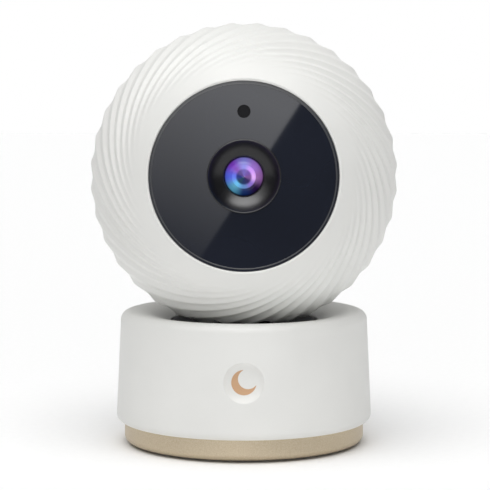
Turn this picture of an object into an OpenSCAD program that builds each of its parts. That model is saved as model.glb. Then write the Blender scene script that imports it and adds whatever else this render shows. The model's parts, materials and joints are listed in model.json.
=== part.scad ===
// Pan and tilt camera: a fluted ball head in a dished round base.
// The base rests on Z = 0, the pan axis is Z and the face looks along -Y.

/* [Ball] */
// Diameter over the crests of the flutes
ball_d = 82; // [74:1:100]
// How deep the ball sits below the top of the base
ball_sink = 5.6; // [4.6:0.1:7]
// Wall of the ball's shells under the flutes
ball_wall = 2.05; // [1.6:0.05:3]
// How far the head looks up from level at rest, in degrees
rest_tilt = 3; // [0:1:8]
// How far behind the ball's centre the two shells meet
split_back = 4.3; // [3:0.1:7]

/* [Flutes] */
// Number of spiral flutes
flute_count = 36; // [24:1:48]
// Depth of a flute below its crests
flute_depth = 0.6; // [0.3:0.05:1]
// Angle from the face axis where the flutes leave the smooth band
flute_start = 39; // [38:1:44]
// Turn of a flute beside the smooth band, in degrees for one ball radius outward
flute_turn_in = 308; // [240:4:360]
// Turn of a flute at the widest circle, in degrees for one ball radius outward
flute_turn_out = 137; // [100:1:240]
// Share of a flute taken by its slow side
flute_lean = 0.6; // [0.5:0.02:0.75]
// Turn of the whole flute pattern, in degrees
flute_phase = 3.6; // [0:0.1:10]

/* [Face] */
// Diameter of the glossy face panel
face_d = 47.4; // [39:0.2:48]
// Thickness of the face panel
face_t = 2.2; // [1.6:0.1:3]
// Width of the bevelled ring round the face panel
bezel_w = 0.7; // [0.5:0.1:1.5]
// Diameter of the lens hood
hood_d = 18.5; // [16:0.5:20]
// Diameter of the front lens
lens_d = 10; // [8:0.2:11]
// Diameter of the light sensor's window
window_d = 3.2; // [2:0.1:4]
// Height of the light sensor's window above the lens axis
window_up = 16.2; // [14:0.1:18]

/* [Base] */
// Height of the rim of the base above the table
base_h = 35.9; // [33:0.1:44]
// Diameter of the base just under its rim
base_top_d = 66; // [64:0.5:80]
// Widest diameter of the base, near its foot
base_foot_d = 67.6; // [65:0.2:82]
// Wall of the base shell
base_wall = 2.2; // [1.8:0.1:3]
// Radius of the rounded rim
rim_round = 2.3; // [1:0.1:3]
// Radius of the rounded lower edge of the base shell
foot_round = 1.9; // [1:0.1:2.5]
// How far the top dishes down from the rim to the turntable
dish_fall = 2.7; // [1.5:0.1:3]
// Height of the lower edge of the base shell
shell_z = 5.2; // [4.6:0.1:6]
// Width of the step from the base shell in to the trim ring
trim_step = 2.1; // [1.8:0.1:3]
// Height of the rubber feet below the trim ring
foot_h = 0.6; // [0.4:0.1:1.5]

/* [Badge] */
// Diameter of the dished badge
badge_d = 10.3; // [8:0.1:14]
// Depth of the dished badge
badge_depth = 0.8; // [0.5:0.1:1]
// Height of the badge's centre above the table
badge_z = 20.9; // [16:0.1:24]
// Diameter of the crescent inlay
moon_d = 6.4; // [4:0.1:8]

/* [Drives] */
// Tooth module of both gear pairs
tooth_m = 0.6; // [0.5:0.05:0.7]
// Teeth on the pan gear
pan_teeth = 40; // [36:1:42]
// Teeth on the tilt gear's full circle
tilt_teeth = 48; // [44:1:52]
// Teeth on each pinion
pinion_teeth = 12; // [11:1:14]
// Width of the teeth
tooth_w = 2.6; // [2:0.1:3]
// Diameter of each motor
motor_d = 20; // [16:0.5:20]
// Length of each motor
motor_l = 14.5; // [12:0.5:15]
// Diameter of each motor's shaft
shaft_d = 3; // [2:0.1:3.4]
// How far each motor's shaft stands off its body's centre
shaft_off = 3.3; // [2.8:0.1:3.5]
// Direction of the tilt motor below the rear, in degrees
tilt_motor_dir = 35; // [25:1:45]

/* [Travel] */
// Pan each way, in degrees
pan_range = 175; // [150:1:175]
// Tilt down from rest, in degrees
tilt_down = 15; // [10:1:20]
// Tilt up from rest, in degrees
tilt_up = 57; // [30:1:60]
// Travel of the pairing button
button_travel = 0.6; // [0.4:0.1:0.8]

/* [Neck and pivots] */
// Width of the neck under the ball
neck_w = 14; // [13:0.5:20]
// Depth of the neck, front to back
neck_t = 8; // [7.5:0.5:11]
// Width between the yoke's cheeks
yoke_gap = 26; // [24:0.5:30]
// Thickness of a cheek and of a chassis arm
cheek_t = 2.6; // [2:0.1:3]
// Diameter of the tilt pins
pin_d = 5; // [4:0.1:6]
// Diameter of the turntable's hub
hub_d = 14; // [13:0.5:15]
// Diameter of the cable way through the hub and neck
cable_way_d = 5.6; // [5:0.1:6]

/* [Sockets and screws] */
// Diameter of the pairing button
button_d = 5.2; // [4:0.1:6]
// Height of the pairing button
button_z = 12.2; // [11.5:0.1:16]
// Diameter of the speaker
speaker_d = 18; // [14:0.5:20]
// Height of the speaker's centre
speaker_z = 22.4; // [21:0.1:24]
// Entry diameter of a keyhole in the bottom cover
keyhole_d = 9; // [7:0.5:10]
// Distance between the keyholes
keyhole_pitch = 28; // [26:1:32]
// Thread diameter of every screw
screw_d = 2; // [1.6:0.1:2.4]

/* [Hidden] */
$fn = 64;

// Clearances
running = 0.05;
seat = 0.05;
gap = 0.4;
cup_gap = 1.2;

// Ball and shells
ball_r = ball_d / 2;
ball_z = base_h + ball_r - ball_sink;
ball_in_r = ball_r - flute_depth - ball_wall;
tongue_l = 2.4;
tongue_t = 1;

// Face, measured forward of the ball's centre
face_r = face_d / 2;
bezel_r = face_r + seat + bezel_w;
opening_r = bezel_r + seat;
opening_front = sqrt(ball_r * ball_r - opening_r * opening_r);
face_front = opening_front - 0.4;
face_back = face_front - face_t;
ledge_t = 1.6;
ledge_r = face_r - 1.4;
hood_r = hood_d / 2;
hood_lip = 0.25;
hood_wall = 0.8;
hood_deep = 5;
lens_r = lens_d / 2;
lens_rim = face_front - 4.9;
lens_rise = 1.4;
barrel_r = lens_r + 1.2;
barrel_front = lens_rim + 0.6;
barrel_back = barrel_front - 6.2;
board_t = 1.6;
board_front = face_front - 13.3;
board_back = board_front - board_t;
camera_board_r = 17;
ir_board_front = face_back - 2.1;
ir_board_back = ir_board_front - board_t;
ir_board_r = face_r - 2;
plate_front = ir_board_back - 2.6;
plate_t = 2.4;
plate_back = plate_front - plate_t;
holder_r = barrel_r + 2;
holder_front = board_front + 5.4;

// Base, measured up from the table
base_top_r = base_top_d / 2;
base_foot_r = base_foot_d / 2;
trim_r = base_foot_r - trim_step;
trim_wall = 2.4;
cover_r = trim_r - trim_wall - 0.1;
cover_t = 2.2;
cover_z = foot_h;
cover_top = cover_z + cover_t;
dish_z = base_h - dish_fall;
cup_r = ball_r + cup_gap;
cup_edge_r = sqrt(cup_r * cup_r - pow(ball_z - dish_z, 2)) + 1;
opening_base_r = cup_edge_r + gap;
post_r = 2.9;
post_at = cover_r - post_r - 0.5;
post_angles = [45, 135, 225, 315];
hang_r = 2.6;
hang_angles = [20, 160, 208, 332];

// Pan drive, from the ball down
table_t = 2.2;
table_under = ball_z - cup_r - table_t;
gear_top = table_under + 0.3;
gear_z = gear_top - tooth_w - 1;
washer_t = 0.8;
deck_top = gear_z - washer_t;
deck_t = 2.4;
deck_z = deck_top - deck_t;
hub_r = hub_d / 2;
clip_t = 1;
clip_rim = 1.6;
clip_groove = 0.9;
hub_z = deck_z - 2.8;
pan_reach = tooth_m * (pan_teeth + pinion_teeth) / 2;
flange_top = dish_z - base_wall - gap;
flange_t = 1.6;
flange_r = pan_reach + tooth_m * (pinion_teeth / 2 + 0.95) + 2;
hang_at = flange_r + 2 * gap + hang_r;
pan_shaft_off = max(shaft_off, hub_r + clip_rim + 0.3 + motor_d / 2 - pan_reach);
ear_t = 1;
ear_at = motor_d / 2 + 2.3;
stop_in_r = flange_r - 1.2;
stop_w = 2 * stop_in_r * sin((180 - pan_range) / 2) - 0.5;

// Neck and yoke, measured from the ball's centre
yoke_foot = -(ball_in_r - 8.3);
yoke_foot_t = 2.5;
cheek_in = yoke_gap / 2;
cheek_out = cheek_in + cheek_t;
cheek_half = neck_t / 2 + 1;
arm_in = cheek_out + tooth_w + 0.5;
arm_out = arm_in + cheek_t;
pin_r = pin_d / 2;
tilt_reach = tooth_m * (tilt_teeth + pinion_teeth) / 2;
slot_half = neck_w / 2 + 1;
slot_side = asin((neck_t / 2) / ball_in_r) + 1.2;
slot_front = tilt_down - rest_tilt + slot_side;
slot_rear = tilt_up + rest_tilt + slot_side;
screw_r = screw_d / 2;
head_r = screw_r * 1.9;
screw_l = 6;

// Base electronics
base_board_z = cover_top + 4.2;
base_board_top = base_board_z + board_t;
socket_w = 9;
socket_h = 3.3;
socket_l = 7.4;
socket_z = base_board_top + socket_h / 2;
button_dir = 62;
button_r = button_d / 2;
speaker_t = 4.6;
speaker_face = base_top_r - base_wall - 2.4;
mic_dir = 120;
mic_z = 13;

// ---------- Curves ----------

// Point of an arc of radius r about [cx, cy] at angle a
function arc_point(cx, cy, r, a) = [cx + r * cos(a), cy + r * sin(a)];

// Arc from angle a to b in n steps
function arc(cx, cy, r, a, b, n = 12) = [for (i = [0:n]) arc_point(cx, cy, r, a + (b - a) * i / n)];

// Outer radius of the base shell at height z, on its tapered side
function base_side(z) = base_foot_r
  + (base_top_r - base_foot_r) * (z - shell_z - foot_round) / (base_h - rim_round - shell_z - foot_round);

// Height over a dome or bowl of radius r at distance x from its axis
function bowl(r, x) = sqrt(r * r - x * x);

// ---------- Flutes ----------

// Wave of one flute: 0 in the rounded valley, 1 at the crest
function flute_wave(p) =
  let(q = p < flute_lean ? p / flute_lean : (1 - p) / (1 - flute_lean))
  (q + 1 - cos(90 * q)) / 2;

// Smooth step from 0 to 1
function ease(x) = let(c = min(1, max(0, x))) c * c * (3 - 2 * c);

// Flutes fade in beside the smooth band and out again at the rear cap
function flute_fade(theta) = ease((theta - flute_start - 2) / 16) * ease((178 - flute_start - theta) / 16);

// Turn of a flute from the smooth band to angle theta from the face axis. Seen from the front its turn
// grows less and less towards the widest circle, and behind that circle it carries on as a mirrored copy.
function flute_lead(theta) =
  let(
    band = sin(flute_start),
    x = max(0, sin(theta) - band),
    lead = flute_turn_in * x + (flute_turn_out - flute_turn_in) * x * x / (2 * (1 - band)),
    widest = (flute_turn_in + flute_turn_out) * (1 - band) / 2
  )
  theta <= 90 ? lead : 2 * widest - lead;

// Phases of one flute that the mesh samples: valley, slow side, crest and fast side
flute_phases = [0, flute_lean * 0.55, flute_lean, (1 + flute_lean) / 2];
columns = flute_count * len(flute_phases);
function column_phase(j) = flute_phases[j % len(flute_phases)];
function column_turn(j) = (floor(j / len(flute_phases)) + column_phase(j) - flute_lean) * 360 / flute_count;

// Surface point on the row at angle theta from the face axis, column j, in the head's own frame
function ball_point(theta, j) =
  let(
    r = ball_r - flute_depth * flute_fade(theta) * (1 - flute_wave(column_phase(j))),
    phi = flute_phase + flute_lead(theta) + column_turn(j)
  )
  [r * sin(theta) * sin(phi), -r * cos(theta), r * sin(theta) * cos(phi)];

// Solid inside a stack of rows at the angles theta, closed by flat ends
module fluted_solid(rows) {
  last = len(rows) - 1;
  points = [for (theta = rows) for (j = [0:columns - 1]) ball_point(theta, j)];
  sides = [for (i = [0:last - 1]) for (j = [0:columns - 1])
    let(a = i * columns + j, b = i * columns + (j + 1) % columns)
    each [[a, b + columns, b], [a, a + columns, b + columns]]];
  front = [[for (j = [0:columns - 1]) j]];
  back = [[for (j = [columns - 1:-1:0]) last * columns + j]];
  polyhedron(points = points, faces = concat(sides, front, back), convexity = 6);
}

// ---------- Gears ----------

// Involute of a base circle at roll angle a, as [radius, turn]
function involute_turn(base_r, r) = r <= base_r ? 0 : sqrt(pow(r / base_r, 2) - 1) * 180 / PI - acos(base_r / r);

// Outline of a spur gear with a tooth on its X axis
function gear_points(teeth) =
  let(
    pitch_r = tooth_m * teeth / 2,
    base_r = pitch_r * cos(25),
    root_r = pitch_r - 1.25 * tooth_m,
    tip_r = pitch_r + 0.95 * tooth_m,
    half = 90 / teeth - 0.035 / pitch_r * 180 / PI + involute_turn(base_r, pitch_r),
    radii = [for (i = [0:5]) max(root_r, base_r - 0.001) + (tip_r - max(root_r, base_r - 0.001)) * i / 5]
  )
  [for (k = [0:teeth - 1]) let(mid = k * 360 / teeth) each concat(
    [arc_point(0, 0, root_r, mid - half)],
    [for (r = radii) arc_point(0, 0, r, mid - half + involute_turn(base_r, r))],
    [for (i = [5:-1:0]) arc_point(0, 0, radii[i], mid + half - involute_turn(base_r, radii[i]))],
    [arc_point(0, 0, root_r, mid + half)])];

module gear(teeth, width, bore_r) {
  linear_extrude(width) difference() {
    polygon(gear_points(teeth));
    circle(bore_r);
  }
}

// ---------- Small shared shapes ----------

// Rectangle with round corners, centred
module round_rect(w, h, r) {
  square([w - 2 * r, h], center = true);
  square([w, h - 2 * r], center = true);
  for (x = [-1, 1]) for (y = [-1, 1]) translate([x * (w / 2 - r), y * (h / 2 - r)]) circle(r);
}

// Pan head screw: the head above Z = 0 and the thread below
module screw(length = screw_l) {
  cylinder(r = head_r, h = screw_r * 1.3);
  translate([0, 0, -length]) cylinder(r = screw_r, h = length);
}

// Places children at a stepper's two ears, from its shaft
module ear_points(off) {
  for (s = [-1, 1]) translate([off, s * ear_at, 0]) children();
}

// Geared stepper that hangs under its mounting face at Z = 0, its shaft on the Z axis and its body towards +X
module stepper(off) {
  difference() {
    union() {
      translate([off, 0, -motor_l]) cylinder(d = motor_d, h = motor_l);
      translate([0, 0, -ear_t]) linear_extrude(ear_t) {
        translate([off, 0]) square([5, 2 * ear_at], center = true);
        ear_points(off) circle(2.5);
      }
      translate([off - motor_d * 0.34, -motor_d / 2 - 1.4, -motor_l + 2]) cube([motor_d * 0.68, 4, 6]);
    }
    translate([0, 0, -6]) cylinder(r = shaft_d / 2 + running, h = 7);
    ear_points(off) translate([0, 0, -ear_t - 1]) cylinder(r = screw_r + seat, h = ear_t + 2);
  }
}

// Turns the pan frame at the ball's centre into the head's own frame
module head_frame() {
  translate([0, 0, ball_z]) rotate([-rest_tilt, 0, 0]) children();
}

// Along the head's face axis: the child's Z points forward, from the ball's centre
module forward(d = 0) {
  head_frame() rotate([90, 0, 0]) translate([0, 0, d]) children();
}

// Out through the base's side at angle a: the child's Z points outward, its Y points up
module outward(a, r, z) {
  rotate([0, 0, a]) translate([r, 0, z]) rotate([90, 0, 90]) children();
}

// Plane that the tilt drive turns in: Z along +X, and X from the tilt axis to the pinion
module tilt_plane(x) {
  translate([x, 0, ball_z]) rotate([0, 90, 0]) rotate([0, 0, 90 - tilt_motor_dir]) children();
}

// Frame of the pan motor's mounting face: X points forward, away from the hub
module pan_drive(z) {
  translate([0, -pan_reach, z]) rotate([0, 0, -90]) children();
}

// Frame of the tilt motor's mounting face: X points back to the tilt axis
module tilt_drive(x) {
  tilt_plane(x) translate([tilt_reach, 0, 0]) rotate([0, 0, 180]) children();
}

// ---------- Base ----------

base_outline = concat(
  arc(base_foot_r - foot_round, shell_z + foot_round, foot_round, -90, 0, 8),
  arc(base_top_r - rim_round, base_h - rim_round, rim_round, 2, 100, 12),
  [[opening_base_r + 0.6, dish_z]],
  arc(opening_base_r + 0.5, dish_z - 0.5, 0.5, 90, 180, 4),
  [[opening_base_r, dish_z - base_wall]],
  [[base_top_r - rim_round - 1, base_h - base_wall - 0.4]],
  [[base_top_r - base_wall, base_h - base_wall - 2]],
  [[base_foot_r - base_wall, shell_z]]
);

module post_screw_holes(z, h, r) {
  for (a = post_angles) rotate([0, 0, a]) translate([post_at, 0, z]) cylinder(r = r, h = h);
}

module crescent(grow) {
  difference() {
    circle(moon_d / 2 + grow);
    translate([moon_d * 0.2, moon_d * 0.1]) circle(moon_d * 0.37 - grow);
  }
}

// Bowl of the badge, as a ball that is cut from the front of the base
badge_ball_r = (pow(badge_d / 2, 2) + pow(badge_depth, 2)) / (2 * badge_depth);
badge_front = base_side(badge_z);
module badge_ball(lift) {
  translate([0, -badge_front - badge_ball_r + badge_depth, badge_z]) sphere(r = badge_ball_r - lift, $fn = 96);
}

module badge_prism(grow, back) {
  translate([0, -badge_front + back, badge_z]) rotate([90, 0, 0]) linear_extrude(3) crescent(grow);
}

module socket_hole(grow, depth) {
  outward(90, base_foot_r - depth, socket_z) linear_extrude(depth + 2)
    round_rect(socket_w + 2 * grow, socket_h + 2 * grow, 1.2);
}

module grille() {
  for (ring = [0:3]) for (k = [0:max(0, ring * 6 - 1)])
    outward(90, speaker_face - 0.5, speaker_z)
      rotate([0, 0, k * 60 / max(1, ring)]) translate([ring * 1.95, 0, 0])
        cylinder(d = 1.1, h = 8, $fn = 24);
}

module base_shell() {
  color("white") difference() {
    union() {
      rotate_extrude($fn = 144) polygon(base_outline);
      for (a = post_angles) rotate([0, 0, a]) {
        translate([post_at, 0, cover_top]) cylinder(r = post_r, h = base_h - base_wall - 0.6 - cover_top);
        translate([post_at, -0.8, shell_z + 3.6]) cube([base_top_r - base_wall - post_at + 1, 1.6, 23]);
      }
      for (a = hang_angles) rotate([0, 0, a])
        translate([hang_at, 0, deck_top]) cylinder(r = hang_r, h = dish_z - base_wall - deck_top + 2.2);
      intersection() {
        outward(90, speaker_face - 1.5, speaker_z) difference() {
          cylinder(d = speaker_d + 2.6, h = 6);
          translate([0, 0, -1]) cylinder(d = speaker_d + 0.2, h = 8);
        }
        cylinder(r = base_top_r - base_wall + 0.5, h = base_h - 3);
      }
    }
    post_screw_holes(cover_top - 1, screw_l + 2, screw_r + seat);
    for (a = hang_angles) rotate([0, 0, a])
      translate([hang_at, 0, deck_top - 1]) cylinder(r = screw_r + seat, h = screw_l);
    badge_ball(0);
    badge_prism(seat, 1.3);
    socket_hole(0.3, 4);
    grille();
    outward(button_dir, base_foot_r - 5, button_z) cylinder(r = button_r + 0.15, h = 8);
    outward(mic_dir, base_foot_r - 5, mic_z) cylinder(r = 0.6, h = 8, $fn = 24);
  }
}

module badge_mark() {
  color("tan") difference() {
    badge_prism(0, 1.25);
    badge_ball(0.08);
  }
}

module base_trim() {
  round_r = 1.1;
  color("tan") rotate_extrude($fn = 144) polygon(concat(
    [[trim_r - trim_wall, foot_h]],
    arc(trim_r - round_r, foot_h + round_r, round_r, -90, 0, 8),
    [[trim_r, shell_z]],
    [[base_foot_r - base_wall - 0.15, shell_z]],
    [[base_foot_r - base_wall - 0.25, shell_z + 2.6]],
    [[trim_r - trim_wall, shell_z + 2.6]]));
}

module keyholes() {
  for (s = [-1, 1]) translate([s * keyhole_pitch / 2, 0, cover_z - 1]) {
    cylinder(d = keyhole_d, h = cover_t + 2);
    linear_extrude(cover_t + 2) {
      translate([-2.1, 0]) square([4.2, 8]);
      translate([0, 8]) circle(2.1);
    }
  }
}

module foot_spots(z, h, r) {
  for (a = [0:90:270]) rotate([0, 0, a]) translate([cover_r - 5.5, 0, z]) cylinder(r = r, h = h);
}

module bottom_cover() {
  color("whitesmoke") difference() {
    union() {
      translate([0, 0, cover_z]) cylinder(r = cover_r, h = cover_t, $fn = 144);
      board_points(cover_top) cylinder(r = 2, h = base_board_z - cover_top);
    }
    keyholes();
    foot_spots(cover_z - 1, 1.5, 3.6);
    post_screw_holes(cover_z - 1, cover_t + 2, screw_r + seat);
    post_screw_holes(cover_z - 1, 2.3, head_r + 0.2);
    board_points(cover_z + 0.8) cylinder(r = screw_r + seat, h = 12);
    for (x = [-8:4:8]) translate([x - 0.6, -18, cover_z - 1]) cube([1.2, 8, cover_t + 2]);
  }
}

module rubber_feet() {
  color("dimgray") foot_spots(0, cover_z + 0.5, 3.5);
}

module base_screws() {
  color("silver") for (a = post_angles) rotate([0, 0, a])
    translate([post_at, 0, cover_z + 1.3]) rotate([180, 0, 0]) screw();
}

module pan_chassis() {
  color("dimgray") difference() {
    union() {
      translate([0, 0, deck_z]) cylinder(r = flange_r, h = deck_t, $fn = 96);
      translate([0, 0, deck_z]) for (a = hang_angles) rotate([0, 0, a]) linear_extrude(deck_t) {
        translate([hang_at, 0]) circle(hang_r + 0.2);
        translate([hang_at - 8, -hang_r]) square([8, 2 * hang_r]);
      }
      rotate([0, 0, 90]) translate([stop_in_r, -stop_w / 2, deck_z])
        cube([flange_r - stop_in_r, stop_w, deck_t + 3.2]);
      pan_drive(deck_z) linear_extrude(deck_t) ear_points(pan_shaft_off) circle(3);
    }
    translate([0, 0, deck_z - 1]) cylinder(r = hub_r + running, h = deck_t + 2);
    pan_drive(deck_z - 1) {
      cylinder(r = shaft_d / 2 + 0.6, h = deck_t + 2);
      ear_points(pan_shaft_off) cylinder(r = screw_r + seat, h = deck_t + 2);
    }
    for (a = hang_angles) rotate([0, 0, a])
      translate([hang_at, 0, deck_z - 1]) cylinder(r = screw_r + seat, h = deck_t + 2);
  }
}

module chassis_screws() {
  color("silver") for (a = hang_angles) rotate([0, 0, a])
    translate([hang_at, 0, deck_z]) rotate([180, 0, 0]) screw();
}

module thrust_washer() {
  color("ivory") translate([0, 0, deck_top]) difference() {
    cylinder(r = hub_r + 3.4, h = washer_t - running);
    translate([0, 0, -1]) cylinder(r = hub_r + 0.3, h = washer_t + 2);
  }
}

module pan_motor() {
  color("silver") pan_drive(deck_z) stepper(pan_shaft_off);
}

module pan_motor_screws() {
  color("silver") pan_drive(deck_z - ear_t) ear_points(pan_shaft_off) rotate([180, 0, 0]) screw(ear_t + deck_t - 0.2);
}

// Places children at the base board's three fixings
module board_points(z) {
  for (p = [[-17.5, 8.5], [17.5, 8.5], [0, 18]]) translate([p[0], p[1], z]) children();
}

module base_board() {
  color("darkgreen") difference() {
    translate([0, 0, base_board_z]) linear_extrude(board_t) difference() {
      circle(r = trim_r - trim_wall - 2.2);
      translate([-40, -77]) square([80, 80]);
      for (a = post_angles) rotate([0, 0, a]) translate([post_at, 0]) circle(post_r + 0.6);
    }
    board_points(base_board_z - 1) cylinder(r = screw_r + seat, h = board_t + 2);
  }
}

module base_board_screws() {
  color("silver") board_points(base_board_top) screw(board_t + 4);
}

module power_socket() {
  outer = base_foot_r - 1.1;
  color("silver") outward(90, outer - socket_l, socket_z) difference() {
    linear_extrude(socket_l) round_rect(socket_w, socket_h, 1.2);
    translate([0, 0, 1]) linear_extrude(socket_l) difference() {
      round_rect(socket_w - 0.8, socket_h - 0.8, 0.9);
      square([6, 0.7], center = true);
    }
  }
}

switch_back = base_side(button_z) - 9.4;
module tact_switch() {
  color("dimgray") rotate([0, 0, button_dir]) {
    translate([switch_back, -3, base_board_top]) cube([3.4, 6, button_z + 2.4 - base_board_top]);
    translate([switch_back + 3.4, 0, button_z]) rotate([0, 90, 0]) cylinder(r = 1.4, h = 0.8);
  }
}

module pair_button() {
  inner = base_side(button_z) - base_wall - 0.5;
  color("lightgray") {
    outward(button_dir, inner, button_z) cylinder(r = button_r, h = base_wall + 0.3);
    outward(button_dir, inner - 0.9, button_z) cylinder(r = button_r + 0.7, h = 0.9);
    outward(button_dir, switch_back + 4.2 + button_travel + 0.1, button_z)
      cylinder(r = 1, h = inner - 0.9 - switch_back - 4.3 - button_travel);
  }
}

module speaker() {
  color("dimgray") outward(90, speaker_face - speaker_t, speaker_z) difference() {
    union() {
      cylinder(d = speaker_d * 0.66, h = speaker_t);
      translate([0, 0, speaker_t - 1.8]) cylinder(d = speaker_d, h = 1.8);
    }
    translate([0, 0, speaker_t - 1.2]) cylinder(d1 = speaker_d * 0.4, d2 = speaker_d * 0.86, h = 1.3);
  }
}

module microphone() {
  color("silver") outward(mic_dir, base_side(mic_z) - base_wall - 1.9, mic_z) cylinder(r = 2, h = 1.5);
}

module wifi_antenna() {
  color("goldenrod") translate([-base_top_r + base_wall + 1.6, -9, shell_z + 5]) cube([0.6, 18, 7]);
}

// ---------- Turning parts in the base ----------

module turntable() {
  under_r = cup_r + table_t;
  cup_in_r = cup_edge_r - 1;
  flange_in_r = sqrt(under_r * under_r - pow(ball_z - flange_top + flange_t, 2));
  color("white") difference() {
    union() {
      rotate_extrude($fn = 144) polygon(concat(
        [for (i = [0:10]) let(x = cup_in_r * i / 10) [x, ball_z - bowl(cup_r, x)]],
        [[cup_edge_r - 0.4, dish_z], [cup_edge_r, dish_z - 0.4], [cup_edge_r, flange_top]],
        [[flange_r, flange_top], [flange_r, flange_top - flange_t]],
        [for (i = [8:-1:0]) let(x = flange_in_r * i / 8) [x, ball_z - bowl(under_r, x)]]));
      translate([0, 0, hub_z]) cylinder(r = hub_r, h = table_under + 1 - hub_z);
      translate([0, 0, gear_top]) cylinder(r = hub_r + 3.2, h = 1.6);
      rotate([0, 0, -90]) translate([stop_in_r, -stop_w / 2, deck_top + 0.4])
        cube([flange_r - stop_in_r, stop_w, flange_top - deck_top - 1.4]);
      translate([0, 0, gear_top + 1]) linear_extrude(ball_z + yoke_foot - gear_top - 1)
        round_rect(neck_w, neck_t, 3);
    }
    translate([0, 0, hub_z - 1]) cylinder(d = cable_way_d, h = 60);
    difference() {
      translate([0, 0, deck_z - clip_t - 0.2]) cylinder(r = hub_r + 1, h = clip_t + 0.1);
      translate([0, 0, deck_z - clip_t - 1]) cylinder(r = hub_r - clip_groove, h = clip_t + 2);
    }
    for (s = [-1, 1]) translate([s * neck_w * 0.35, 0, ball_z + yoke_foot - screw_l])
      cylinder(r = screw_r + seat, h = screw_l + 1);
    for (a = [60:120:300]) rotate([0, 0, a])
      translate([hub_r + 1.5, 0, gear_top - 1]) cylinder(r = 0.65, h = 2.4, $fn = 24);
  }
}

module pan_gear() {
  color("ivory") translate([0, 0, gear_z]) difference() {
    rotate([0, 0, -90]) gear(pan_teeth, gear_top - gear_z, hub_r + seat);
    for (a = [60:120:300]) rotate([0, 0, a]) {
      translate([hub_r + 1.5, 0, -1]) cylinder(r = 0.65, h = 8, $fn = 24);
      translate([hub_r + 1.5, 0, -1]) cylinder(r = 1.25, h = 2, $fn = 24);
    }
  }
}

module pan_gear_screws() {
  color("silver") for (a = [60:120:300]) rotate([0, 0, a]) translate([hub_r + 1.5, 0, gear_z]) {
    translate([0, 0, 0.2]) cylinder(r = 1.2, h = 0.8, $fn = 24);
    cylinder(r = 0.6, h = gear_top - gear_z + 1.2, $fn = 24);
  }
}

module pan_clip() {
  color("silver") translate([0, 0, deck_z - clip_t - 0.15]) linear_extrude(clip_t) difference() {
    circle(hub_r + clip_rim);
    circle(hub_r - clip_groove + seat);
    translate([0, -hub_r]) square([6, 2 * hub_r], center = true);
  }
}

module pan_shaft() {
  color("silver") pan_drive(deck_z - 5.8) cylinder(d = shaft_d, h = gear_top - deck_z + 5.4);
}

module pan_pinion() {
  color("ivory") pan_drive(gear_z + 0.4)
    rotate([0, 0, 180 + 180 / pinion_teeth]) gear(pinion_teeth, tooth_w, shaft_d / 2 + seat);
}

// ---------- Yoke and tilt drive ----------

module yoke() {
  color("dimgray") difference() {
    union() {
      translate([0, 0, ball_z]) {
        translate([-cheek_out, -cheek_half, yoke_foot]) cube([2 * cheek_out, 2 * cheek_half, yoke_foot_t]);
        for (s = [-1, 1]) translate([s * (cheek_in + cheek_t / 2), 0, 0]) {
          translate([-cheek_t / 2, -cheek_half, yoke_foot]) cube([cheek_t, 2 * cheek_half, -yoke_foot]);
          rotate([0, 90, 0]) cylinder(r = cheek_half, h = cheek_t, center = true);
        }
      }
      tilt_plane(cheek_in) linear_extrude(cheek_t) {
        translate([tilt_reach - shaft_off, 0]) square([7, 2 * ear_at], center = true);
        translate([tilt_reach, 0]) rotate(180) ear_points(shaft_off) circle(3.5);
        translate([0, -5]) square([tilt_reach, 10]);
        translate([tilt_reach, 0]) circle(5);
      }
    }
    translate([0, 0, ball_z]) rotate([0, 90, 0]) cylinder(r = pin_r + seat, h = 60, center = true);
    tilt_drive(cheek_in - 1) {
      cylinder(r = shaft_d / 2 + 0.6, h = cheek_t + 2);
      ear_points(shaft_off) cylinder(r = screw_r + seat, h = cheek_t + 2);
    }
    translate([0, 0, ball_z + yoke_foot - 1]) {
      cylinder(d = cable_way_d, h = 8);
      for (s = [-1, 1]) translate([s * neck_w * 0.35, 0, 0]) cylinder(r = screw_r + seat, h = 8);
    }
  }
}

module yoke_screws() {
  color("silver") for (s = [-1, 1])
    translate([s * neck_w * 0.35, 0, ball_z + yoke_foot + yoke_foot_t]) screw(yoke_foot_t + 4.5);
}

module tilt_pins() {
  color("silver") translate([0, 0, ball_z]) for (s = [0, 180]) rotate([0, 0, s]) rotate([0, 90, 0]) {
    translate([0, 0, cheek_in + 0.2]) cylinder(r = pin_r, h = arm_out - cheek_in + 0.2);
    translate([0, 0, arm_out + 0.3]) cylinder(r = pin_r + 1.3, h = 1);
  }
}

module tilt_motor() {
  color("silver") tilt_drive(cheek_in) stepper(shaft_off);
}

module tilt_motor_screws() {
  color("silver") tilt_drive(cheek_in - ear_t) ear_points(shaft_off) rotate([180, 0, 0]) screw(ear_t + cheek_t - 0.2);
}

module tilt_shaft() {
  color("silver") tilt_drive(cheek_in - 5.8) cylinder(d = shaft_d, h = 5.8 + cheek_t + tooth_w + 0.3);
}

module tilt_pinion() {
  color("ivory") tilt_drive(cheek_out + 0.3)
    rotate([0, 0, 180 / pinion_teeth]) gear(pinion_teeth, tooth_w, shaft_d / 2 + seat);
}

module wire_loom() {
  color("dimgray") for (a = [0:120:240]) rotate([0, 0, a]) translate([1.2, 0, hub_z - 3])
    cylinder(r = 0.95, h = ball_z + yoke_foot + yoke_foot_t + 4 - hub_z);
}

// ---------- Head shells ----------

// Angle of the plane where the shells meet, and the rows' spacing, closest where the flutes turn most
split_theta = 90 + asin(split_back / ball_r);
function spread(i, n) = pow(i / n, 1.3);

// Way for the neck: a band round the tilt axis from the front to the rear of the neck's travel
module neck_slot() {
  rotate([0, 90, 0]) rotate([0, 0, -slot_front]) rotate_extrude(angle = slot_rear + slot_front)
    translate([ball_in_r - 6, -slot_half]) square([12, 2 * slot_half]);
}

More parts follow.
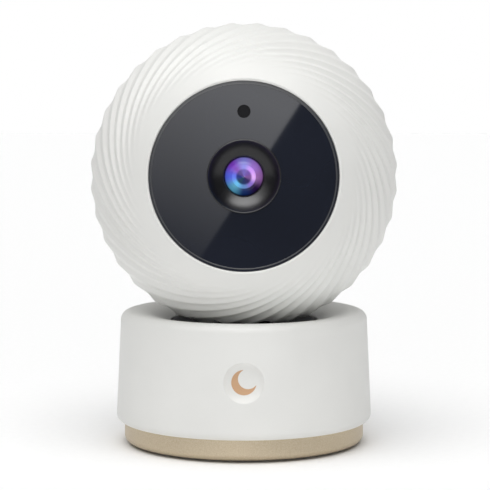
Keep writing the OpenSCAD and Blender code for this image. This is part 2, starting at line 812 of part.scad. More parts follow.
module shell_posts(r) {
  for (a = post_angles) rotate([0, 0, a]) translate([plate_post_at, 0, plate_front])
    cylinder(r = r, h = sqrt(ball_in_r * ball_in_r - pow(plate_post_at, 2)) - plate_front + 1);
}
plate_post_at = face_r + 2.3;

module head_front_shell() {
  rows = concat([for (t = [flute_start - 6:2:flute_start - 1]) t],
    [for (i = [0:20]) flute_start + (split_theta - flute_start) * spread(i, 20)]);
  color("white") {
    difference() {
      head_frame() fluted_solid(rows);
      head_frame() sphere(r = ball_in_r, $fn = 144);
      forward(0) cylinder(r = opening_r, h = ball_r, $fn = 144);
      head_frame() neck_slot();
    }
    forward(0) difference() {
      intersection() {
        union() {
          translate([0, 0, face_back - ledge_t]) cylinder(r = opening_r + 2, h = ledge_t, $fn = 144);
          shell_posts(2.3);
        }
        sphere(r = ball_in_r + 0.6, $fn = 144);
      }
      translate([0, 0, face_back - ledge_t - 1]) cylinder(r = ledge_r, h = ledge_t + 2, $fn = 144);
      for (a = post_angles) rotate([0, 0, a]) translate([plate_post_at, 0, plate_front - 1])
        cylinder(r = screw_r + seat, h = 5);
    }
  }
}

module head_rear_shell() {
  cap = 180 - flute_start;
  rows = concat([for (i = [0:17]) cap - (cap - split_theta) * spread(17 - i, 17)],
    [for (t = [cap + 6:6:177]) t]);
  color("white") head_frame() {
    difference() {
      fluted_solid(rows);
      sphere(r = ball_in_r, $fn = 144);
      neck_slot();
    }
    difference() {
      rotate([90, 0, 0]) rotate_extrude($fn = 144) polygon([
        [ball_in_r - tongue_t - 0.6, -split_back - 3],
        [ball_in_r - tongue_t - 0.6, -split_back + tongue_l],
        [ball_in_r - 0.6, -split_back + tongue_l],
        [ball_in_r - 0.35, -split_back],
        [ball_in_r + 0.4, -split_back],
        [ball_in_r + 0.2, -split_back - 3]]);
      neck_slot();
    }
  }
}

// ---------- Face and camera ----------

module face_bezel() {
  color("gray") forward(0) rotate_extrude($fn = 144) polygon([
    [face_r + seat, face_back],
    [bezel_r, face_back],
    [bezel_r, opening_front - 0.15],
    [bezel_r - 0.15, opening_front - 0.05],
    [face_r + seat, face_front - 0.05]]);
}

module face_panel() {
  color("black") forward(face_back) difference() {
    cylinder(r = face_r, h = face_t, $fn = 144);
    translate([0, 0, -1]) cylinder(r = hood_r - hood_wall, h = face_t + 2, $fn = 96);
    translate([0, 0, face_t - 0.8]) cylinder(r = hood_r + seat, h = 2, $fn = 96);
    translate([0, window_up, -1]) cylinder(d = window_d + 2 * seat, h = face_t + 2);
  }
}

module lens_hood() {
  wall_r = hood_r - hood_wall - seat;
  color("dimgray") forward(0) rotate_extrude($fn = 96) polygon([
    [hood_r, face_front - 0.8 + seat],
    [hood_r, face_front + hood_lip - 0.1],
    [hood_r - 0.1, face_front + hood_lip],
    [hood_r - 0.45, face_front + hood_lip],
    [lens_r + 0.35, face_front - hood_deep + 1.2],
    [lens_r + 0.35, face_front - hood_deep + 0.9],
    [wall_r, face_front - hood_deep + 0.9],
    [wall_r, face_front - 0.8 + seat]]);
}

module front_lens() {
  dome_r = (lens_r * lens_r + lens_rise * lens_rise) / (2 * lens_rise);
  color([0.3, 0.3, 0.8, 0.6]) forward(lens_rim - 0.6) {
    cylinder(r = lens_r, h = 0.6);
    translate([0, 0, 0.6]) intersection() {
      cylinder(r = lens_r, h = lens_rise);
      translate([0, 0, lens_rise - dome_r]) sphere(r = dome_r, $fn = 96);
    }
  }
}

module lens_barrel() {
  color("black") forward(barrel_back) difference() {
    cylinder(r = barrel_r, h = barrel_front - barrel_back - 0.6);
    translate([0, 0, -1]) cylinder(r = lens_r - 1.6, h = 12);
    translate([0, 0, lens_rim - 0.6 - barrel_back]) cylinder(r = lens_r + seat, h = 6);
    translate([0, 0, 1.2]) cylinder(r = lens_r - 0.8 + seat, h = 1.6);
  }
}

module rear_lens() {
  color([0.3, 0.4, 0.8, 0.6]) forward(barrel_back + 1.2) cylinder(r = lens_r - 0.8, h = 1.5);
}

module lens_holder() {
  color("black") forward(board_front) difference() {
    union() {
      cylinder(r = holder_r, h = holder_front - board_front);
      translate([0, 0, 0.8]) cube([holder_r * 2, holder_r * 2, 1.6], center = true);
    }
    translate([0, 0, barrel_back - board_front - 0.6]) cylinder(r = barrel_r + seat, h = 8);
    translate([0, 0, -1]) cylinder(r = lens_r - 1.2, h = 8);
    translate([0, 0, 0.7]) cube([9, 9, 1.6], center = true);
  }
}

module ir_filter() {
  color([0.7, 0.2, 0.3, 0.5]) forward(barrel_back - 0.6 + seat) cylinder(r = lens_r - 0.4, h = 0.4);
}

module image_sensor() {
  color("slategray") forward(board_front + 0.5) cube([7, 6, 1], center = true);
}

module camera_points() {
  for (a = [0:90:270]) rotate([0, 0, a]) translate([camera_board_r - 3, 0, 0]) children();
}

module camera_board() {
  color("darkgreen") forward(board_back) difference() {
    cylinder(r = camera_board_r, h = board_t);
    camera_points() translate([0, 0, -1]) cylinder(r = screw_r + seat, h = board_t + 2);
  }
}

module camera_board_screws() {
  color("silver") forward(board_back) camera_points() rotate([180, 0, 0]) screw(board_t + 4);
}

module ir_board() {
  color("darkgreen") forward(ir_board_back) difference() {
    cylinder(r = ir_board_r, h = board_t);
    translate([0, 0, -1]) cylinder(r = hood_r + 0.6, h = board_t + 2);
  }
}

module ir_leds() {
  color("lightyellow") forward(ir_board_front) for (a = [22.5:45:337.5]) rotate([0, 0, a])
    translate([ir_board_r - 4.6, 0, 0.75]) cube([3.2, 3.2, 1.5], center = true);
}

module light_sensor() {
  color("dimgray") forward(ir_board_front) translate([0, window_up, 0.5]) cube([2.6, 2, 1], center = true);
}

module sensor_window() {
  color([0.1, 0.1, 0.12, 0.8]) forward(face_back) translate([0, window_up, 0]) cylinder(d = window_d, h = face_t - 0.5);
}

module head_chassis() {
  color("dimgray") difference() {
    union() {
      forward(plate_back) {
        cylinder(r = ir_board_r + 1, h = plate_t);
        for (a = post_angles) rotate([0, 0, a]) linear_extrude(plate_t) {
          translate([plate_post_at, 0]) circle(2.9);
          translate([plate_post_at - 6, -2.9]) square([6, 5.8]);
        }
        translate([0, 0, board_front - plate_back]) camera_points() cylinder(r = 2, h = plate_back - board_front + 0.5);
        for (a = [45:90:315]) rotate([0, 0, a]) translate([ir_board_r - 4, 0, 0])
          cylinder(r = 1.6, h = ir_board_back - plate_back);
      }
      head_frame() for (s = [-1, 1]) {
        translate([s * (arm_in + cheek_t / 2), 0, 0]) {
          rotate([0, 90, 0]) cylinder(r = pin_r + 3.2, h = cheek_t, center = true);
          translate([-cheek_t / 2, -plate_front + 0.1, -pin_r - 3.2]) cube([cheek_t, plate_front - 0.1, 2 * pin_r + 6.4]);
        }
      }
      head_frame() translate([-arm_in, 0, 0]) rotate([0, 90, 0]) cylinder(r = pin_r + 1.6, h = tooth_w + 0.2);
    }
    forward(plate_back - 5) cylinder(r = hood_r + 0.9, h = 20);
    head_frame() rotate([0, 90, 0]) cylinder(r = pin_r + running, h = 60, center = true);
    forward(plate_back - 1) for (a = post_angles) rotate([0, 0, a])
      translate([plate_post_at, 0, 0]) cylinder(r = screw_r + seat, h = plate_t + 2);
    forward(board_front - 1) camera_points() cylinder(r = screw_r + seat, h = 7);
    tilt_plane(arm_in - 1) sector_screws() cylinder(r = screw_r * 0.7 + seat, h = cheek_t + 2, $fn = 24);
  }
}

module head_chassis_screws() {
  color("silver") forward(plate_back) for (a = post_angles) rotate([0, 0, a])
    translate([plate_post_at, 0, 0]) rotate([180, 0, 0]) screw(plate_t + 3);
}

// Places children at the two screws that hold the tilt gear to the chassis arm
module sector_screws() {
  for (a = sector_screw_angles) rotate([0, 0, a]) translate([pin_r + 4.4, 0, 0]) children();
}
sector_screw_angles = [100, 70];

// Toothed sector that turns with the head: its teeth reach the pinion over the whole tilt
module tilt_gear() {
  lead = tilt_down + 14;
  trail = -tilt_up - 14;
  reach = tooth_m * tilt_teeth / 2 + 2;
  color("ivory") tilt_plane(cheek_out + 0.3) difference() {
    linear_extrude(tooth_w + 0.1) intersection() {
      polygon(gear_points(tilt_teeth));
      union() {
        circle(pin_r + 3.2);
        sector_screws() circle(3);
        polygon(concat([[0, 0]], [for (i = [0:8]) arc_point(0, 0, reach * 1.1, trail + (lead - trail) * i / 8)]));
      }
    }
    translate([0, 0, -1]) cylinder(r = pin_r + running, h = tooth_w + 3);
    sector_screws() translate([0, 0, -1]) {
      cylinder(r = screw_r * 0.7 + seat, h = tooth_w + 3, $fn = 24);
      cylinder(r = screw_r * 1.2 + seat, h = 2, $fn = 24);
    }
  }
}

module tilt_gear_screws() {
  color("silver") tilt_plane(cheek_out + 0.4) sector_screws() {
    cylinder(r = screw_r * 1.2, h = 0.9, $fn = 24);
    cylinder(r = screw_r * 0.7, h = tooth_w + cheek_t - 0.6, $fn = 24);
  }
}

// ---------- Nodes ----------

base_shell();
base_trim();
badge_mark();
bottom_cover();
rubber_feet();
base_screws();
pan_chassis();
chassis_screws();
thrust_washer();
pan_motor();
pan_motor_screws();
base_board();
base_board_screws();
power_socket();
tact_switch();
speaker();
microphone();
wifi_antenna();
pair_button();
turntable();
pan_gear();
pan_gear_screws();
pan_clip();
yoke();
yoke_screws();
tilt_pins();
tilt_motor();
tilt_motor_screws();
wire_loom();
pan_shaft();
pan_pinion();
tilt_shaft();
tilt_pinion();
head_front_shell();
head_rear_shell();
face_bezel();
face_panel();
lens_hood();
front_lens();
rear_lens();
lens_barrel();
lens_holder();
ir_filter();
image_sensor();
camera_board();
camera_board_screws();
ir_board();
ir_leds();
light_sensor();
sensor_window();
head_chassis();
head_chassis_screws();
tilt_gear();
tilt_gear_screws();
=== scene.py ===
"""Looks for a ball-shaped pan and tilt baby camera: fluted satin shells, gloss face, champagne foot."""

import json
import math

import bmesh
import bpy
import numpy as np
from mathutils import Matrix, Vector


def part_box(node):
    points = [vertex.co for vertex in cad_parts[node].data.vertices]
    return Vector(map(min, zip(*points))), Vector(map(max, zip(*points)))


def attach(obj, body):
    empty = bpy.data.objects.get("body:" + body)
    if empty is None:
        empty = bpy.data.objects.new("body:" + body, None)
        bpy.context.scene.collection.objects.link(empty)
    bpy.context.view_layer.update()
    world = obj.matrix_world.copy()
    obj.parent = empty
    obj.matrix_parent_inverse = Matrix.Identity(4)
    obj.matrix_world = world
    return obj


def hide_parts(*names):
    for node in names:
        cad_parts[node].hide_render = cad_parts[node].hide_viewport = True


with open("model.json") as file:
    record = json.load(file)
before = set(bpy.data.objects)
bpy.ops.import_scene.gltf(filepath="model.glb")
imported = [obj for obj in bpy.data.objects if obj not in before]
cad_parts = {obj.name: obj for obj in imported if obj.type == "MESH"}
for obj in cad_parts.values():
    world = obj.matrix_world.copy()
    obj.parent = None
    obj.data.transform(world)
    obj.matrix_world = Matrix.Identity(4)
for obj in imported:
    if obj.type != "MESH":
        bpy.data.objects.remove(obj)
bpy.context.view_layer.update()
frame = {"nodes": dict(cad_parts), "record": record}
MM = 0.001

# ---------- Places and sizes, from the frame ----------

pivot = np.array(next(j for j in frame["record"]["behaviour"]["joints"] if j["name"] == "head_tilt")["pos_m"])
lens_low, lens_high = (np.array(c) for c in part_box("front_lens"))
lens_mid = (lens_low + lens_high) / 2 - pivot
rest_tilt = math.atan2(lens_mid[2], -lens_mid[1])
BALL_R = (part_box("head_front_shell")[1][0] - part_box("head_front_shell")[0][0]) / 2

FLUTES = 36
FLUTE_DEPTH = 0.6 * MM
FLUTE_START = math.radians(39)
FLUTE_TURN_IN = 308
FLUTE_TURN_OUT = 137
FLUTE_LEAN = 0.6
FLUTE_PHASE = math.radians(3.6)
SHELL_WALL = 2.65 * MM
SPLIT_BACK = 4.3 * MM
OPENING_R = 23.9 * MM
PANEL_SEEN_R = 23.0 * MM
HOOD_R = 9.25 * MM
LENS_R = 5.0 * MM
# Strength of the lens's painted glow, which stands for its bright reflections
LENS_PAINTED_GLOW = 0.34
LIP_ROUND = 0.45 * MM
FACE_BACK = 30.3 * MM
FACE_FRONT = 32.47 * MM

base_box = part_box("base_shell")
BASE_FOOT_R = (base_box[1][0] - base_box[0][0]) / 2 + 0.4 * MM
BASE_TOP_R = 33.0 * MM
BASE_H = base_box[1][2] - 0.4 * MM
BASE_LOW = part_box("base_trim")[1][2] - 1.7 * MM
RIM_ROUND = 2.3 * MM
FOOT_ROUND = 1.9 * MM
BASE_WALL = 2.2 * MM
DISH_FALL = 2.7 * MM
DISH_IN_R = 19.54 * MM
BADGE_R = 5.15 * MM
BADGE_DEPTH = 1.5 * MM
BADGE_Z = 20.9 * MM

# Slot for the neck: degrees from straight down, the front negative, and distances from the ball's centre
NECK_HALF = 8.0 * MM
SLOT_FRONT, SLOT_REAR = -19.2, 67.2
SLOT_IN, SLOT_OUT = 30 * MM, 46 * MM

# Lens hood, as distances in front of and behind the face panel's front
HOOD_LIP = 0.10 * MM
HOOD_LIP_ROUND = 0.18 * MM
HOOD_SEAT = 0.7 * MM
HOOD_DEEP = 2.75 * MM
HOOD_HEEL = 3.05 * MM
HOOD_BACK = 4.1 * MM

# Crescent: radius, first angle and turn of its outer arc, then of its inner arc, and the inner arc's centre
MOON_R, MOON_FROM, MOON_TURN = 3.2 * MM, 90, 260
MOON_IN_R, MOON_IN_FROM, MOON_IN_TURN = 2.55 * MM, 113.9, 212.2
MOON_IN_X, MOON_IN_Z = 1.034 * MM, 0.868 * MM
MOON_PROUD, MOON_SUNK = 0.05, 0.3

# Openings at the base's rear: radii and heights, and directions in degrees from +X
INLET = (9.6 * MM, 3.9 * MM, 1.3 * MM)
BUTTON_R, BUTTON_AT, BUTTON_Z = 2.75 * MM, 62, 12.2 * MM
MIC_R, MIC_AT, MIC_Z = 0.6 * MM, 120, 13 * MM
GRILLE_R, GRILLE_STEP, GRILLE_CIRCLES = 0.55 * MM, 1.95 * MM, 4
REAR = 90

# Fine rows and columns round the badge, and the rows of the base's outline that can carry its dish
FINE_HALF, FINE_NEXT = 6.3 * MM, 6.5 * MM
FINE_AZIMUTH = 11.5
OUTSIDE_ROWS = 125

FOOT_RING_OUT = 0.4 * MM
FOOT_RING_EDGE = 1.6 * MM
FOOT_RING_WALL = 2.4 * MM

# ---------- Small helpers ----------


def head_to_row(points):
    """Turns head points, whose face looks along -Y, up by the rest tilt and moves them to the pivot."""
    c, s = math.cos(rest_tilt), math.sin(rest_tilt)
    x, y, z = points[..., 0], points[..., 1], points[..., 2]
    return np.stack([x, y * c + z * s, -y * s + z * c], -1) + pivot


def mesh_object(name, points, faces, smooth=True):
    """A mesh piece from points and faces, with doubles merged and faces turned outward."""
    mesh = bpy.data.meshes.new(name)
    mesh.from_pydata(points.reshape(-1, 3).tolist(), [], faces)
    work = bmesh.new()
    work.from_mesh(mesh)
    bmesh.ops.remove_doubles(work, verts=work.verts, dist=1e-7)
    bmesh.ops.recalc_face_normals(work, faces=work.faces)
    work.to_mesh(mesh)
    work.free()
    if smooth:
        mesh.shade_smooth()
    piece = bpy.data.objects.new(name, mesh)
    bpy.context.scene.collection.objects.link(piece)
    return piece


def grid_faces(rows, columns, wrap_rows=False, wrap_columns=True):
    """Quads of a rows by columns grid, closed in the directions that wrap."""
    last_row, last_column = rows if wrap_rows else rows - 1, columns if wrap_columns else columns - 1
    i, j = np.meshgrid(np.arange(last_row), np.arange(last_column), indexing="ij")
    i2, j2 = (i + 1) % rows, (j + 1) % columns
    quads = np.stack([i * columns + j, i * columns + j2, i2 * columns + j2, i2 * columns + j], -1)
    return quads.reshape(-1, 4).tolist()


def arc(cx, cy, radius, start, stop, steps):
    """Points of an arc about (cx, cy), between two angles in degrees."""
    angle = np.radians(np.linspace(start, stop, steps))
    return np.stack([cx + radius * np.cos(angle), cy + radius * np.sin(angle)], -1)


def join(*outlines):
    """One outline from several stretches of points."""
    return np.concatenate([np.asarray(o, float).reshape(-1, 2) for o in outlines])


def smooth_step(x):
    """0 below 0, 1 above 1, and a smooth rise between them."""
    c = np.clip(x, 0, 1)
    return c * c * (3 - 2 * c)


def soften(piece, angle=35):
    """Smooth shading that still breaks at edges sharper than the angle in degrees."""
    for face in piece.data.polygons:
        face.use_smooth = True
    piece.data.set_sharp_from_angle(angle=math.radians(angle))


# ---------- Materials ----------


def colour(code):
    """An sRGB hex code as linear RGBA."""
    channels = [int(code[i:i + 2], 16) / 255 for i in (1, 3, 5)]
    return tuple(c / 12.92 if c <= 0.04045 else ((c + 0.055) / 1.055) ** 2.4 for c in channels) + (1.0,)


def add(material, kind, links=None, **settings):
    """Adds a node with its settings (sockets by name or node attributes) and its incoming links."""
    node = material.node_tree.nodes.new(kind)
    for name, value in settings.items():
        if hasattr(node, name):
            setattr(node, name, value)
        else:
            node.inputs[name.replace("_", " ")].default_value = value
    for socket, source in (links or {}).items():
        material.node_tree.links.new(source, node.inputs[socket])
    return node


def new_material(name):
    """An empty node material, its shader and its output."""
    material = bpy.data.materials.new(name)
    material.use_nodes = True
    return material, material.node_tree.nodes["Principled BSDF"]


def set_shader(shader, **values):
    """Sets the shader's own sockets by name."""
    for name, value in values.items():
        shader.inputs[name.replace("_", " ")].default_value = value


def connect(material, source, target):
    """Links one socket to another."""
    material.node_tree.links.new(source, target)


def object_noise(material, scale, detail=3.0, roughness=0.5):
    """Noise on Object coordinates, where scale counts features a metre."""
    place = add(material, "ShaderNodeTexCoord")
    links = {"Vector": place.outputs["Object"]}
    return add(material, "ShaderNodeTexNoise", links, Scale=scale, Detail=detail, Roughness=roughness)


def ramp_between(material, value, low, high, at=(0.3, 0.7)):
    """A colour ramp between two colours."""
    ramp = add(material, "ShaderNodeValToRGB", {"Fac": value})
    ramp.color_ramp.elements[0].position, ramp.color_ramp.elements[1].position = at
    ramp.color_ramp.elements[0].color, ramp.color_ramp.elements[1].color = low, high
    return ramp.outputs["Color"]


def add_bump(material, shader, height, distance, strength=1.0):
    """Bump from a height, whose full swing is the distance in metres."""
    bump = add(material, "ShaderNodeBump", {"Height": height}, Strength=strength, Distance=distance)
    connect(material, bump.outputs["Normal"], shader.inputs["Normal"])


def moulded_plastic(name, low, high, rough, grain_mm=0.35, bump_mm=0.004, **extra):
    """Moulded plastic: a spark-eroded mould leaves a fine even grain, and the colour barely drifts."""
    material, shader = new_material(name)
    set_shader(shader, Roughness=rough, IOR=1.5, **extra)
    drift = object_noise(material, 1 / (18 * MM), 2.0)
    shade = ramp_between(material, drift.outputs["Fac"], colour(low), colour(high))
    connect(material, shade, shader.inputs["Base Color"])
    grain = object_noise(material, 1 / (grain_mm * MM), 2.0)
    add_bump(material, shader, grain.outputs["Fac"], bump_mm * MM, 0.6)
    return material


def satin_abs():
    """White ABS in a fine satin: broad soft highlights, so the flutes read by shade and not by glints."""
    return moulded_plastic("satin_white_abs", "#e7e7e4", "#ebebe8", 0.45, Specular_IOR_Level=0.3)


def champagne_paint():
    """Champagne metallic lacquer: satin, warm, with a fine sparkle of flakes."""
    material, shader = new_material("champagne_metallic_lacquer")
    set_shader(shader, Metallic=0.75, Roughness=0.42)
    flakes = object_noise(material, 1 / (0.30 * MM), 3.0, 0.7)
    shade = ramp_between(material, flakes.outputs["Fac"], colour("#b9a88e"), colour("#d0c4ad"), (0.25, 0.75))
    connect(material, shade, shader.inputs["Base Color"])
    add_bump(material, shader, flakes.outputs["Fac"], 0.006 * MM, 0.5)
    return material


def polished_acrylic():
    """Infrared-passing acrylic, polished: almost black, with clean mirror reflections."""
    material, shader = new_material("polished_black_acrylic")
    set_shader(shader, Roughness=0.02, IOR=1.49)
    drift = object_noise(material, 1 / (25 * MM), 1.0)
    shade = ramp_between(material, drift.outputs["Fac"], colour("#141823"), colour("#191d29"))
    connect(material, shade, shader.inputs["Base Color"])
    return material


# Painted reflections: hues round the lens axis from its left side through its bottom, right side and top, for
# three rings. They stand for the light that the coatings throw back, lighter or darker round the axis as that
# light falls, not for the glass's own colour
RIM_REFLECTION_HUES = ("#5364da", "#569ebc", "#0d295f", "#220f3c", "#9163a5", "#9c73cd", "#8484d8", "#7d3fc0")
RING_REFLECTION_HUES = ("#667bec", "#67bded", "#5b84c0", "#8567c7", "#e2aefa", "#d09bfd", "#8b89e3", "#7d43b4")
PUPIL_REFLECTION_HUES = ("#28377d", "#0e3a54", "#082358", "#261856", "#7a5494", "#7055a5", "#6250aa", "#46307e")

# Radii where each ring of hues is still full, and where it has gone
RIM_FADE = (4.5 * MM, 5.0 * MM)
RING_FADE = (2.8 * MM, 3.15 * MM)
PUPIL_FADE = (1.6 * MM, 2.3 * MM)


def coated_lens():
    """Multi-coated glass with painted reflections: the hues that each coating throws back are painted into
    the colour, as rings of violet, blue and cyan that turn round the axis. The hues also glow faintly, a
    painted glow on a lens that is no lamp, which stands for the bright reflections of a curved lens."""
    material, shader = new_material("multi_coated_lens_glass")
    set_shader(shader, Roughness=0.06, IOR=1.52, Specular_IOR_Level=0.25, Emission_Strength=LENS_PAINTED_GLOW)
    low, high = (Vector(corner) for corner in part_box("front_lens"))
    lens_axes = add(material, "ShaderNodeMapping", vector_type="TEXTURE")
    lens_axes.inputs["Location"].default_value = (low + high) / 2
    lens_axes.inputs["Rotation"].default_value = (math.pi / 2 + rest_tilt, 0, 0)
    connect(material, add(material, "ShaderNodeTexCoord").outputs["Object"], lens_axes.inputs["Vector"])
    flat = add(material, "ShaderNodeVectorMath", {0: lens_axes.outputs[0]}, operation="MULTIPLY")
    flat.inputs[1].default_value = (1, 1, 0)
    round_axis = add(material, "ShaderNodeTexGradient", {"Vector": flat.outputs[0]}, gradient_type="RADIAL")
    radius = add(material, "ShaderNodeVectorMath", {0: flat.outputs[0]}, operation="LENGTH").outputs["Value"]

    def hues(codes):
        ramp = add(material, "ShaderNodeValToRGB", {"Fac": round_axis.outputs["Fac"]})
        ramp.color_ramp.interpolation = "EASE"
        stops = ramp.color_ramp.elements
        stops[0].color = stops[1].color = colour(codes[0])
        for k in range(1, len(codes)):
            stops.new(k / len(codes)).color = colour(codes[k])
        return ramp.outputs["Color"]

    def within(near, far):
        """1 inside the radius near, 0 outside the radius far."""
        fade = add(material, "ShaderNodeMapRange", {"Value": radius}, interpolation_type="SMOOTHSTEP")
        fade.inputs["From Min"].default_value, fade.inputs["From Max"].default_value = far, near
        return fade.outputs["Result"]

    def mixed(share, below, above):
        blend = add(material, "ShaderNodeMix", {0: share, 6: below, 7: above}, data_type="RGBA")
        return blend.outputs[2]

    rim = add(material, "ShaderNodeMix", {0: within(*RIM_FADE), 7: hues(RIM_REFLECTION_HUES)}, data_type="RGBA")
    rim.inputs[6].default_value = colour("#14101c")
    ringed = mixed(within(*RING_FADE), rim.outputs[2], hues(RING_REFLECTION_HUES))
    face = mixed(within(*PUPIL_FADE), ringed, hues(PUPIL_REFLECTION_HUES))
    # Painted reflections: the same hues go into both the lens's colour and its glow
    connect(material, face, shader.inputs["Base Color"])
    connect(material, face, shader.inputs["Emission Color"])
    return material


def metal(name, low, high, rough, scale_mm=1.2):
    """Plated metal: clear reflections, softened and mottled slightly by the plating."""
    material, shader = new_material(name)
    set_shader(shader, Metallic=1.0, Roughness=rough)
    mottle = object_noise(material, 1 / (scale_mm * MM), 3.0)
    shade = ramp_between(material, mottle.outputs["Fac"], colour(low), colour(high))
    connect(material, shade, shader.inputs["Base Color"])
    add_bump(material, shader, mottle.outputs["Fac"], 0.004 * MM, 0.4)
    return material


# What each gives the eye: white shells and button read as one soft satin, black gloss as a mirror, the hood,
# barrel and window as steps of black round the lens, nylon and rubber as flat dark, and metal as small glints
FINISHES = {
    "white_shell": satin_abs(),
    "champagne_trim": champagne_paint(),
    "badge_inlay": moulded_plastic("tan_pad_print", "#c79d77", "#cfa884", 0.4),
    "rubber_foot": moulded_plastic("matt_rubber", "#222222", "#2a2a2a", 0.8),
    "black_gloss": polished_acrylic(),
    "bezel_grey": moulded_plastic("painted_bezel", "#3a3b3e", "#434447", 0.3),
    "hood_black": moulded_plastic("satin_black_hood", "#0b0b0e", "#111114", 0.3),
    "black_matte": moulded_plastic("matt_black_barrel", "#0c0c0c", "#121212", 0.6),
    "frame_plastic": moulded_plastic("glass_filled_nylon", "#2b2b2d", "#333336", 0.6),
    "acetal": moulded_plastic("natural_acetal", "#e3ddc8", "#ebe6d4", 0.35),
    "steel": metal("zinc_plated_steel", "#b4b4b8", "#c4c4c6", 0.32),
    "motor_can": metal("plated_motor_can", "#a9a9ad", "#bcbcbe", 0.28),
    "lens_glass": coated_lens(),
    "filter_glass": moulded_plastic("infrared_filter_glass", "#5a2530", "#6a2f3b", 0.05),
    "pcb_green": moulded_plastic("solder_mask", "#0c3d22", "#124a2b", 0.3, grain_mm=0.8),
    "chip_black": moulded_plastic("chip_package", "#17171a", "#1d1d21", 0.5),
    "led_lens": moulded_plastic("led_epoxy", "#d9d4b0", "#e6e2c4", 0.15),
    "window_dark": moulded_plastic("smoked_window", "#0c0c10", "#121217", 0.2, Specular_IOR_Level=0.12),
    "antenna_copper": metal("antenna_copper", "#b87a4b", "#c68a5c", 0.3),
    "wire_black": moulded_plastic("wire_sheath", "#111111", "#181818", 0.45),
    "button_white": moulded_plastic("button_cap", "#dcdcda", "#e3e3e1", 0.4),
}

for part in frame["record"]["subparts"]:
    shown = frame["nodes"][part["node"]]
    shown.data.materials.clear()
    shown.data.materials.append(FINISHES[part["material_slot"]])
# The turntable only shows in the gap under the ball. Its cup is coloured dark nylon as painted shade, so that
# the gap reads dark whatever the part's own colour
frame["nodes"]["turntable"].data.materials[0] = FINISHES["frame_plastic"]


def finish_piece(piece, body, slot_name, *nodes):
    """Gives a new piece its material, its body and the CAD nodes that it stands for."""
    piece.data.materials.clear()
    piece.data.materials.append(FINISHES[slot_name])
    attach(piece, body)
    if nodes:
        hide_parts(*nodes)
    return piece


# ---------- Fluted ball shells ----------


def flute_wave(phase):
    """Height of one flute: 0 in its valley, 1 at its crest, slow up one side and fast down the other."""
    q = np.where(phase < FLUTE_LEAN, phase / FLUTE_LEAN, (1 - phase) / (1 - FLUTE_LEAN))
    return (q + 1 - np.cos(np.pi / 2 * q)) / 2


def flute_fade(theta):
    """Flutes grow out of the smooth band beside the face and die out at the rear cap."""
    degrees = np.degrees(theta)
    start = math.degrees(FLUTE_START)
    return smooth_step((degrees - start - 2) / 16) * smooth_step((178 - start - degrees) / 16)


def flute_lead(theta):
    """Turn of a flute at angle theta from the face axis, in radians.

    Seen from the front, the turn for one ball radius outward falls evenly from FLUTE_TURN_IN at the smooth
    band to FLUTE_TURN_OUT at the widest circle. Behind that circle the lead carries on as a mirrored copy.
    """
    band = math.sin(FLUTE_START)
    x = np.maximum(0, np.sin(theta) - band)
    lead = FLUTE_TURN_IN * x + (FLUTE_TURN_OUT - FLUTE_TURN_IN) * x * x / (2 * (1 - band))
    widest = (FLUTE_TURN_IN + FLUTE_TURN_OUT) * (1 - band) / 2
    return np.radians(np.where(theta <= math.pi / 2, lead, 2 * widest - lead))


PER_FLUTE = 14
phase = np.tile(np.arange(PER_FLUTE) / PER_FLUTE, FLUTES)
turn = (np.repeat(np.arange(FLUTES), PER_FLUTE) + phase - FLUTE_LEAN) * 2 * np.pi / FLUTES


def shell_rows(theta, radius, fluted):
    """Points of rows at angles theta from the face axis; fluted rows dip between crests."""
    theta = np.asarray(theta, float)[:, None]
    dip = FLUTE_DEPTH * flute_fade(theta) * (1 - flute_wave(phase)[None, :]) if fluted else 0 * phase[None, :]
    r = radius - dip
    phi = FLUTE_PHASE + flute_lead(theta) + turn[None, :]
    across = r * np.sin(theta)
    return np.stack([across * np.sin(phi), -r * np.cos(theta), across * np.cos(phi)], -1)


def ring_rows(outline):
    """Rows of a turned outline of (radius, distance forward of the ball's centre)."""
    radius, ahead = outline[:, 0][:, None], outline[:, 1][:, None]
    phi = FLUTE_PHASE + turn[None, :]
    return np.stack([radius * np.sin(phi), -ahead + 0 * phi, radius * np.cos(phi)], -1)


SPLIT_THETA = math.pi / 2 + math.asin(SPLIT_BACK / BALL_R)
CAP_THETA = math.pi - FLUTE_START
SEAM = 0.10 * MM / BALL_R


def ball_front():
    """Front shell: fluted outside, rounded lip into the face opening, plain inside, all one closed skin."""
    lip_theta = math.asin((OPENING_R + LIP_ROUND) / BALL_R)
    edge = SPLIT_THETA - SEAM
    outer = shell_rows(FLUTE_START + (edge - FLUTE_START) * np.linspace(1, 0, 78) ** 1.3, BALL_R, True)
    band = shell_rows(np.linspace(FLUTE_START, lip_theta, 8)[1:], BALL_R, False)
    lip_front = BALL_R * math.cos(lip_theta)
    lip = arc(OPENING_R + LIP_ROUND, lip_front - LIP_ROUND, LIP_ROUND, 70, 180, 9)
    ledge_r = OPENING_R - 1.5 * MM
    bore = join(lip, [[OPENING_R, FACE_BACK], [ledge_r, FACE_BACK], [ledge_r, FACE_BACK - 2.2 * MM]])
    inner = shell_rows(np.linspace(math.radians(44), edge, 22), BALL_R - SHELL_WALL, False)
    points = np.concatenate([outer, band, ring_rows(bore), inner])
    return mesh_object("ball_front", head_to_row(points), grid_faces(len(points), len(phase), wrap_rows=True))


def ball_rear():
    """Rear shell: the flutes carry on from the front shell and die out in a smooth cap."""
    edge = SPLIT_THETA + SEAM
    outer = shell_rows(CAP_THETA - (CAP_THETA - edge) * np.linspace(1, 0, 66) ** 1.3, BALL_R, True)
    cap = shell_rows(np.linspace(CAP_THETA, math.pi, 24)[1:], BALL_R, False)
    inner = shell_rows(np.linspace(math.pi, edge, 30), BALL_R - SHELL_WALL, False)
    points = np.concatenate([outer, cap, inner])
    return mesh_object("ball_rear", head_to_row(points), grid_faces(len(points), len(phase), wrap_rows=True))


